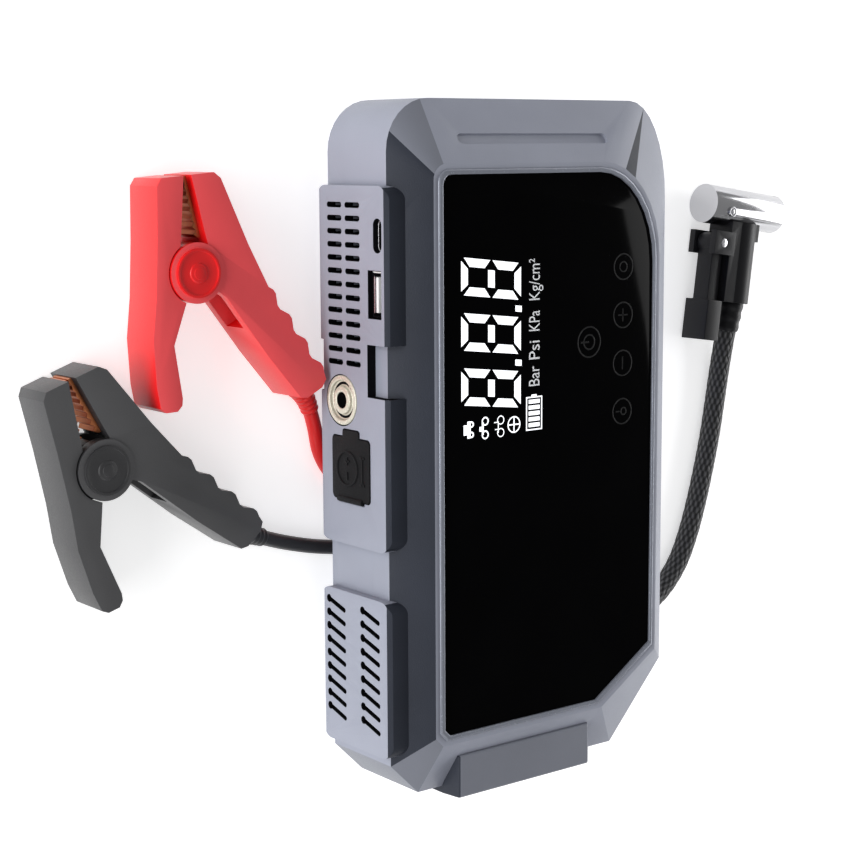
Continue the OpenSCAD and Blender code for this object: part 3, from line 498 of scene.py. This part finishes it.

# %% [markdown]
# ## Painted shade on the slope beside the ports
# The slope between the ports and the display is painted darker than the walls as painted shade,
# and so are the shoulders of the two side panels where they climb over it and a shallow groove
# past the glass. The corners at both ends of the slope are painted a middle tone as painted shade,
# and the lamp's housing has a dark cheek of painted shade on that side and the case's grey on its
# other cheek. Faces are chosen by the way they look and by where they are.

# %% Paint chosen faces
FAR_CORNER, NEAR_CORNER = 87, -90
SHOULDER_Z = 40
STEEP = 0.45
GLASS_EDGE = (80.5, 48.0)
END_SLOPE = 9.5 / 21.5
GROOVE_X = (84, 100)
GROOVE_HALF = 40
GROOVE_DEPTH = (0.35, 3)


def paint(node, finish, chosen):
    """Gives a second finish to the faces that chosen(normal, centre in mm) picks."""
    obj = moulded[node]
    obj.data.materials.append(MATERIALS[finish])
    index = len(obj.data.materials) - 1
    count = 0
    for face in obj.data.polygons:
        if chosen(face.normal, face.center / MM):
            face.material_index = index
            count += 1
    print(node, finish, count)


def in_groove(n, c):
    """True for a face that looks up and lies a little below the slope past the glass."""
    below = GLASS_EDGE[1] - (c.x - GLASS_EDGE[0]) * END_SLOPE - c.z
    return (GROOVE_X[0] < c.x < GROOVE_X[1] and abs(c.y) < GROOVE_HALF and n.z > 0.2
        and GROOVE_DEPTH[0] < below < GROOVE_DEPTH[1])


# Painted shade: the slope, the groove past the glass, the lamp's near cheek and the panels'
# shoulders get the dark grey, and the slope's end corners get a middle grey, by the way each face
# is turned.
paint("front_shell", "painted_shade_dark", lambda n, c: n.y > 0.25 and n.z > 0.2 and c.x < FAR_CORNER)
paint("front_shell", "lamp_grey", lambda n, c: n.y > 0.1 and n.x > 0.12 and n.z > 0.2
    and c.x > FAR_CORNER)
paint("front_shell", "lamp_grey", lambda n, c: n.y > 0.2 and n.x < -0.3 and c.x < NEAR_CORNER)
paint("back_shell", "lamp_grey", lambda n, c: n.y > 0.2 and n.x < -0.3 and c.x < NEAR_CORNER)
paint("front_shell", "painted_shade_dark", in_groove)
paint("lamp_housing", "painted_shade_dark", lambda n, c: n.y > 0.5)
paint("lamp_housing", "case_grey", lambda n, c: n.y < -0.5)
paint("port_panel", "painted_shade_dark", lambda n, c: n.z > STEEP and c.z > SHOULDER_Z)
paint("vent_panel", "painted_shade_dark", lambda n, c: n.z > STEEP and c.z > SHOULDER_Z)

# %% [markdown]
# ## Dark openings
# Little light reaches the inside of the pack, so its slots look black from outside. The sides of
# the slots and the shell's inner faces behind them are painted black, and so are the hollows of
# the sockets. Only a tongue or a rim stays bright, which is what makes a small socket readable.
# The tongue and the lip of the larger socket are two rounded bars.

# %% Blacken slots and sockets
SHELL_WALL = 55.0
PANEL_FRONT = 57.55
PANEL_Z = (9.7, 41.2)
USB_A_X = 46.8
USB_A_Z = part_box("usb_a_socket")[0].z / MM * 0.5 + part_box("usb_a_socket")[1].z / MM * 0.5
USB_A_BACK = 46
USB_C_MOUTH = 56.2
DC_X, DC_Z = 15.1, 19.9
DC_HOLE, DC_MOUTH = 2.45, 57.9


def inside_panel(x0, x1):
    return lambda n, c: x0 < c.x < x1 and PANEL_Z[0] < c.z < PANEL_Z[1] and c.y < PANEL_FRONT


paint("port_panel", "recess_black", inside_panel(-26.3, 76.3))
paint("vent_panel", "recess_black", inside_panel(-87.5, -43.5))
paint("front_shell", "recess_black", lambda n, c: abs(c.x) < 88 and 40 < c.y < SHELL_WALL - 0.3
    and 10.5 < c.z < 42 and (n.y < -0.2 or n.z < -0.2 or abs(n.x) > 0.3))
paint("usb_a_socket", "recess_black", lambda n, c: True)
paint("usb_a_socket", "board_white",
    lambda n, c: 0.15 < c.z - USB_A_Z < 1.75 and c.y > USB_A_BACK)
paint("usb_c_socket", "recess_black", lambda n, c: c.y < USB_C_MOUTH)
paint("dc_socket", "recess_black",
    lambda n, c: math.hypot(c.x - DC_X, c.z - DC_Z) < DC_HOLE and c.y < DC_MOUTH)


def port_bar(name, z0, z1, y1, half, slot):
    """A bar from the shell's wall to y1, inside the larger socket's opening, in mm."""
    bpy.ops.object.select_all(action="DESELECT")
    bpy.ops.mesh.primitive_cube_add(size=1)
    block = bpy.context.object
    block.name = name
    block.scale = (2 * half * MM, (y1 - SHELL_WALL) * MM, (z1 - z0) * MM)
    block.location = (USB_A_X * MM, (y1 + SHELL_WALL) / 2 * MM, (USB_A_Z + (z0 + z1) / 2) * MM)
    bpy.ops.object.transform_apply(location=True, rotation=True, scale=True)
    round_edges(block, 0.12)
    finish_piece(block, slot, "pack")


port_bar("usb_a_tongue", 0.35, 1.45, 57.6, 5.0, "board_white")
port_bar("usb_a_lip", -1.0, -0.6, 57.4, 5.2, "socket_steel")

# %% [markdown]
# ## The lit display
# The display is a set of thin shapes on the black glass. Every bar is a stretched cube, and the
# rings are flattened hoops. The digits read along +X, and up is +Y. The units are plain words
# in Blender's own font.

# %% Helpers for thin marks
GLASS_TOP = 48.0
MARK = 0.03
FONT_SIZE = 1.4


def bar(x0, y0, x1, y1):
    """A thin upright-sided block on the glass, from one corner to the other, in mm."""
    bpy.ops.mesh.primitive_cube_add(size=1)
    block = bpy.context.object
    block.scale = (abs(x1 - x0) * MM, abs(y1 - y0) * MM, 2 * MARK * MM)
    block.location = ((x0 + x1) / 2 * MM, (y0 + y1) / 2 * MM, GLASS_TOP * MM)
    return block


def hoop(x, y, radius, width):
    bpy.ops.mesh.primitive_torus_add(major_segments=40, minor_segments=8,
        major_radius=radius * MM, minor_radius=width / 2 * MM)
    ring = bpy.context.object
    ring.scale = (1, 1, MARK / (width / 2))
    ring.location = (x * MM, y * MM, GLASS_TOP * MM)
    return ring


def word(text, x0, x1, y, height):
    bpy.ops.object.text_add(location=(x0 * MM, y * MM, (GLASS_TOP - MARK) * MM))
    letters = bpy.context.object
    letters.data.body = text
    letters.data.size = height * FONT_SIZE * MM
    letters.data.extrude = MARK * MM
    bpy.context.view_layer.update()
    letters.scale = ((x1 - x0) * MM / letters.dimensions.x, 1, 1)
    bpy.ops.object.convert(target="MESH")
    return bpy.context.object


def joined(name, shapes):
    bpy.ops.object.select_all(action="DESELECT")
    for shape in shapes:
        shape.select_set(True)
    bpy.context.view_layer.objects.active = shapes[0]
    bpy.ops.object.join()
    bpy.ops.object.transform_apply(location=True, rotation=True, scale=True)
    shapes[0].name = name
    return shapes[0]


print("marks stand", MARK, "mm above the glass")

# %% [markdown]
# ## The digits
# Each digit has seven bars. The inner corners of the outer ones are pulled in, as on a real
# seven-segment display, and the whole row leans over a little. Last, the upright edges are
# bevelled, so that no bar ends in a hard corner. Two square points stand between the digits.

# %% Seven-segment digits
SEGMENT = 2.5
GAP = 0.4
TIP = 2.5 * GAP
SLANT = 0.115
DIGIT_LEFT = (13.2, 29.1, 45.0)
DIGIT_WIDE = 10.8
DIGIT_Y = (13.2, 35.7)
SLANT_FROM = 24.4
POINTS = ((25.6, 12.9, 27.4, 15.3), (41.5, 12.9, 43.3, 15.3))


def segment(x0, y0, x1, y1, inner):
    """One bar of a digit. The corners on its inner side, +1 or -1, are pulled in."""
    block = bar(x0, y0, x1, y1)
    flat = x1 - x0 > y1 - y0
    pull = 1 - 1.7 * SEGMENT / max(x1 - x0, y1 - y0)
    for vertex in block.data.vertices:
        along, across = (0, 1) if flat else (1, 0)
        if vertex.co[across] * inner > 0:
            vertex.co[along] *= pull
    return block


def digit(x0, x1, y0, y1):
    mid, half = (y0 + y1) / 2, SEGMENT / 2
    rows = [segment(x0 + TIP, y0, x1 - TIP, y0 + SEGMENT, 1),
        segment(x0 + TIP, y1 - SEGMENT, x1 - TIP, y1, -1),
        bar(x0 + SEGMENT + GAP, mid - half, x1 - SEGMENT - GAP, mid + half)]
    columns = [segment(x, low, x + SEGMENT, high, inner)
        for x, inner in ((x0, 1), (x1 - SEGMENT, -1))
        for low, high in ((y0 + TIP, mid - GAP), (mid + GAP, y1 - TIP))]
    return rows + columns


figures = [bar(*corners) for corners in POINTS]
for left in DIGIT_LEFT:
    figures += digit(left, left + DIGIT_WIDE, *DIGIT_Y)
figures = joined("digits", figures)
for vertex in figures.data.vertices:
    vertex.co.x += SLANT * (vertex.co.y - SLANT_FROM * MM)
pick(figures)
for edge in figures.data.edges:
    start, end = (figures.data.vertices[k].co for k in edge.vertices)
    edge.select = abs(start.z - end.z) > MARK * MM
bpy.ops.object.mode_set(mode="EDIT")
bpy.ops.mesh.select_mode(type="EDGE")
bpy.ops.mesh.bevel(offset=0.35 * MM, segments=2, affect="EDGES", clamp_overlap=True)
bpy.ops.object.mode_set(mode="OBJECT")
finish_piece(figures, "display_white", "pack")
print("digits:", len(figures.data.polygons), "faces")

# %% [markdown]
# ## Units, gauge and symbols
# Beside the digits stand the four units of pressure, a battery gauge with five cells, and four
# small signs: a car, a motorcycle, a bicycle and a ball. They are simple enough to be drawn with
# bars and hoops alone.

# %% Units, battery gauge and small symbols
UNITS = (("Bar", 17.6, 23.5), ("Psi", 25.5, 31), ("KPa", 34, 40), ("Kg/cm²", 43.1, 55.3))
UNIT_Y, UNIT_TALL = 5.9, 4.3
marks = [word(text, x0, x1, UNIT_Y, UNIT_TALL) for text, x0, x1 in UNITS]
# the battery and its cells
marks += [bar(4.7, 4.8, 5.1, 11.1), bar(14.4, 4.8, 14.8, 11.1), bar(14.8, 7, 15.4, 9),
    bar(5.1, 4.8, 14.4, 5.2), bar(5.1, 10.7, 14.4, 11.1)]
marks += [bar(5.7 + 1.75 * k, 5.8, 6.9 + 1.75 * k, 10.1) for k in range(5)]
# the car, the motorcycle, the bicycle and the ball
marks += [bar(4.6, 32.3, 9.6, 33.5), bar(5.6, 33.5, 8.6, 34.9), hoop(5.6, 32.0, 0.7, 0.5),
    hoop(8.6, 32.0, 0.7, 0.5)]
marks += [hoop(5.1, 26.8, 1.1, 0.45), hoop(9.1, 26.8, 1.1, 0.45), bar(5.1, 27.4, 8.8, 28.1),
    bar(6.2, 28.1, 7.6, 29.0)]
marks += [hoop(5.2, 20.9, 1.2, 0.3), hoop(8.9, 20.9, 1.2, 0.3), bar(5.2, 21.7, 8.6, 22.0),
    bar(8.2, 22.0, 8.5, 23.4), bar(6.1, 22.0, 6.4, 23.1)]
marks += [hoop(7.1, 15.8, 2.3, 0.4), bar(6.9, 13.6, 7.3, 18.0), bar(4.9, 15.6, 9.3, 16.0)]
finish_piece(joined("display_marks", marks), "display_white", "pack")
print("marks:", len(marks), "shapes")

# %% [markdown]
# ## The touch keys
# Under the glass, five keys are printed in a grey that hardly shows: a large power key, and a
# column of four with a lamp sign, a plus, a minus and a mode sign. They are thin shapes as well,
# in a finish only a little paler than the glass.

# %% The touch keys
KEY_X = (51.7, 36.9, 22.1, 7.1)
KEY_Y, KEY_R = -28, 3.9
# the power key
keys = [hoop(29.5, -14, 4.6, 0.5), bar(29.2, -14, 29.8, -10.6), hoop(29.5, -14, 2.2, 0.5)]
# the ring of each small key, and then what stands inside it
keys += [hoop(x, KEY_Y, KEY_R, 0.45) for x in KEY_X]
keys += [hoop(51.7, -28, 1.5, 0.4), bar(34.9, -28.25, 38.9, -27.75),
    bar(36.65, -30, 37.15, -26), bar(20.1, -28.25, 24.1, -27.75), hoop(7.1, -28.6, 1.1, 0.4),
    bar(6.9, -27, 7.3, -25.4)]
finish_piece(joined("touch_keys", keys), "key_grey", "pack")
print("keys:", len(keys), "shapes")

# %% [markdown]
# ## Clamp details
# Each clamp has a pressed disc over its pivot, with a groove round a raised hub, and a wire spring
# inside. The broad flat faces are matt, and their colour is painted paler as painted light, while
# the rounded edges keep their full colour. A torsion spring is a coil with two straight legs.
# One leg pushes on each handle, so the coil and one leg stay still and the other leg turns with
# the squeezed handle. The chuck's screw is the same grooved disc, only smaller.

# %% Discs and springs
CLAMPS = {"red": (54, 103, 5), "black": (2, 133, 20)}
CLAMP_T = 15.0
WIRE = 0.9
COIL_R = 3.9
COIL_STEPS = 32
LEG_STEPS = 6
CHUCK_AT = (66, -123, 6.7)
CHUCK_TURN = -8
SCREW_AT = (-2, 10, 0)


def at_clamp(side):
    x, y, turn = CLAMPS[side]
    return Matrix.Translation((x * MM, y * MM, 0)) @ Matrix.Rotation(math.radians(turn), 4, "Z")


def select_top(obj):
    top = max(face.center.z for face in obj.data.polygons)
    for part in (obj.data.vertices, obj.data.edges, obj.data.polygons):
        part.foreach_set("select", [False] * len(part))
    for face in obj.data.polygons:
        face.select = face.center.z > top - 0.01 * MM and face.normal.z > 0.9


def grooved_disc(name, at, z, radius, height, groove, body, slot):
    """A disc with a groove round a hub; groove is its two radii and its depth, in mm."""
    outer, inner, depth = groove
    bpy.ops.object.select_all(action="DESELECT")
    bpy.ops.mesh.primitive_cylinder_add(vertices=64, radius=radius * MM, depth=height * MM,
        location=(0, 0, (z + height / 2) * MM))
    disc = bpy.context.object
    disc.name = name
    bpy.ops.object.transform_apply(location=True, rotation=True, scale=True)
    select_top(disc)
    bpy.ops.object.mode_set(mode="EDIT")
    bpy.ops.mesh.select_mode(type="FACE")
    bpy.ops.mesh.inset(thickness=(radius - outer) * MM)
    bpy.ops.mesh.extrude_region_move(TRANSFORM_OT_translate={"value": (0, 0, -depth * MM)})
    bpy.ops.mesh.inset(thickness=(outer - inner) * MM)
    bpy.ops.mesh.extrude_region_move(TRANSFORM_OT_translate={"value": (0, 0, depth * MM)})
    bpy.ops.mesh.inset(thickness=inner * 0.35 * MM)
    bpy.ops.mesh.extrude_region_move(TRANSFORM_OT_translate={"value": (0, 0, depth * 0.5 * MM)})
    bpy.ops.object.mode_set(mode="OBJECT")
    disc.data.transform(at)
    round_edges(disc, 0.15)
    return finish_piece(disc, slot, body)


def spring_line(turns, rise, start, leg):
    """A coil that starts at an angle and climbs by rise, then a straight leg, in mm."""
    count = round(turns * COIL_STEPS)
    line = []
    for k in range(count + 1):
        angle = math.radians(start) + 2 * math.pi * turns * k / count
        line.append(Vector((COIL_R * math.cos(angle), COIL_R * math.sin(angle),
            CLAMP_T / 2 - rise / 2 + rise * k / count)) * MM)
    ahead = (line[-1] - line[-2]).normalized()
    return line + [line[-1] + ahead * leg * MM * k / LEG_STEPS for k in range(1, LEG_STEPS + 1)]


def wire_radius(share, along):
    return WIRE / 2 * MM


def clamp_extras(side):
    at = at_clamp(side)
    grooved_disc(side + "_disc", at, CLAMP_T + 0.4, 6.9, 1.1, (6.1, 2.6, 0.4), "pack",
        side + "_clamp")
    coil = tube(side + "_spring_coil", spring_line(2.55, 3.2, 10, 15), wire_radius, 12)
    coil.data.transform(at)
    finish_piece(coil, "bare_aluminium", "pack", [side + "_spring"])
    leg = [Vector((2.6 - 17 * k / 8, 4.4 + 4.6 * k / 8, CLAMP_T / 2 - 1.7)) * MM for k in range(9)]
    leg = tube(side + "_spring_leg", leg, wire_radius, 12)
    leg.data.transform(at)
    finish_piece(leg, "bare_aluminium", side + "_squeeze_side")


for side in CLAMPS:
    clamp_extras(side)
    for handle in ("_cable_handle", "_squeeze_handle"):
        # Painted light: a paler finish on each handle's flat faces.
        paint(side + handle, side + "_flat", lambda n, c: abs(n.z) > 0.9)
chuck_turn = Matrix.Rotation(math.radians(CHUCK_TURN), 4, "Z")
screw_place = (Matrix.Translation(Vector(CHUCK_AT) * MM) @ chuck_turn
    @ Matrix.Translation(Vector(SCREW_AT) * MM))
grooved_disc("head_screw", screw_place, 6.4, 1.7, 1.0, (1.25, 0.6, 0.45), "pack", "chrome_head")
print("clamps dressed:", list(CLAMPS))

# %% [markdown]
# ## The port cover's emboss
# The rubber cover carries a raised ring with a minus and a plus in it, and a bracket beside the
# ring, all moulded into its face, so that the hidden socket can be told by touch. They ride on
# the cover, so they swing open with it.

# %% Emboss the cover
COVER_X, COVER_Z = -4.8, 24.4
COVER_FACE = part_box("port_panel")[1].y / MM + 0.3
RING_DOWN = 1.6
RING_R, RING_WIRE = 5.0, 0.42
BARS = ((-2.2, -1.6, 2.4, 0.7), (2.2, -1.6, 2.4, 0.7), (2.2, -1.6, 0.7, 2.4),
    (0, 5.9, 8.6, 0.7), (-4, 5.9, 0.8, 2.2), (4, 5.9, 0.8, 2.2))
BAR_DEEP = 0.6


def emboss():
    face = COVER_FACE * MM
    shapes = []
    bpy.ops.object.select_all(action="DESELECT")
    bpy.ops.mesh.primitive_torus_add(major_segments=56, minor_segments=10,
        major_radius=RING_R * MM, minor_radius=RING_WIRE * MM, rotation=(math.pi / 2, 0, 0),
        location=(COVER_X * MM, face, (COVER_Z - RING_DOWN) * MM))
    shapes.append(bpy.context.object)
    for x, z, wide, tall in BARS:
        bpy.ops.mesh.primitive_cube_add(size=1,
            location=((COVER_X + x) * MM, face, (COVER_Z + z) * MM))
        shapes.append(bpy.context.object)
        shapes[-1].scale = (wide * MM, BAR_DEEP * MM, tall * MM)
    mark = joined("cover_emboss", shapes)
    round_edges(mark, 0.12)
    finish_piece(mark, "black_rubber", "cover")


emboss()
print("cover face at y =", round(COVER_FACE, 2))

# %% [markdown]
# ## Strain reliefs
# A lead that is bent where it enters a hard part soon breaks, so each end has a soft sleeve. The
# sleeve tapers, and rings are cut in it so that it can bend. They are tubes as well: the radius
# falls and rises in waves along the same line as the lead.

# %% Sleeves at the ends of the leads
RING_CUT = 0.28


def sleeve(name, line, start, length, big, small, slot, bands=6):
    """A ribbed taper round the stretch of a line that begins start metres along it."""
    travelled, part = 0.0, []
    for a, b in zip(line, line[1:]):
        travelled += (b - a).length
        if start <= travelled <= start + length:
            part.append(b)

    def taper(share, along):
        t = along / length
        ring = 0.5 + 0.5 * math.cos(2 * math.pi * bands * t)
        return (big + (small - big) * t - RING_CUT * ring) * MM

    return finish_piece(tube(name, part, taper, 28), slot, "pack")


fine_red = smooth_line(RED_ROUTE, 0.35 * MM)
fine_black = smooth_line(BLACK_ROUTE, 0.35 * MM)
red_boot = sleeve("red_clamp_boot", fine_red, 0.0, 0.011, 3.5, 2.75, "red_cable")
black_boot = sleeve("black_clamp_boot", fine_black, 0.0, 0.011, 3.5, 2.75, "black_cable")
red_tail = sleeve("red_plug_boot", fine_red[::-1], 0.0, 0.012, 3.4, 2.7, "plug_blue")
black_tail = sleeve("black_plug_boot", fine_black[::-1], 0.0, 0.012, 3.4, 2.7, "plug_blue")
hose_boot = sleeve("hose_boot", hose_line, 0.0, 0.014, 4.25, 3.75, "black_rubber")
hose_end = sleeve("hose_ferrule", hose_line[::-1], 0.0, 0.011, 4.6, 4.2, "black_plastic", bands=3)
print("sleeves:", [piece.name for piece in (red_boot, black_boot, red_tail, black_tail,
    hose_boot, hose_end)])

# %% [markdown]
# The leads are counted from the plug to the clamp, and the hose from the pack to the chuck.


print("cords in mm:", [round(length_of(line) / MM) for line in (red_line, black_line, hose_line)])

# %% [markdown]
# ## The floor and the light
# The pack is shown on a white floor with low walls far away, all of which glow a little, as on
# a light table. Two long soft boxes, one along each side, light the pack's sides more than its
# top, and that is what gives the moulded facets their different tones. A third, weak one hangs
# over one end. The world is white as well, so that the chrome has something pale to mirror.

# %% Floor, lights and world
ROOM = 14.0
WALL = 1.7
WHITE = (1, 1, 1, 1)
SKY = 0.3


def add_floor():
    bpy.ops.object.select_all(action="DESELECT")
    bpy.ops.mesh.primitive_plane_add(size=ROOM)
    floor = bpy.context.object
    floor.name = "floor"
    bpy.ops.object.mode_set(mode="EDIT")
    bpy.ops.mesh.select_mode(type="EDGE")
    bpy.ops.mesh.select_all(action="SELECT")
    bpy.ops.mesh.region_to_loop()
    bpy.ops.mesh.extrude_region_move(TRANSFORM_OT_translate={"value": (0, 0, WALL)})
    bpy.ops.object.mode_set(mode="OBJECT")
    paper = surface("paper", (0.9, 0.9, 0.9), 0.85, grain=400, bump=0.0, tone=0.004,
        Specular_IOR_Level=0.1, Emission_Color=WHITE, Emission_Strength=0.55)
    floor.data.materials.append(paper)


def soft_box(name, at, target, size, power):
    data = bpy.data.lights.new(name, "AREA")
    data.shape = "RECTANGLE"
    data.size, data.size_y = size
    data.energy = power
    lamp = bpy.data.objects.new(name, data)
    bpy.context.scene.collection.objects.link(lamp)
    lamp.location = at
    lamp.rotation_euler = (Vector(target) - Vector(at)).to_track_quat("-Z", "Y").to_euler()


add_floor()
soft_box("ports_side", (0.05, 0.95, 0.30), (0, 0, 0.02), (1.1, 0.4), 8)
soft_box("far_side", (0.05, -0.95, 0.35), (0, 0, 0.02), (1.1, 0.4), 7)
soft_box("overhead", (-0.75, 0.1, 0.75), (0, 0, 0.0), (0.6, 0.6), 1.5)
world = bpy.data.worlds.new("studio")
world.use_nodes = True
world.node_tree.nodes["Background"].inputs["Color"].default_value = WHITE
world.node_tree.nodes["Background"].inputs["Strength"].default_value = SKY
bpy.context.scene.world = world
bpy.context.scene.view_settings.view_transform = "Standard"
print("floor, three soft boxes and a white world")
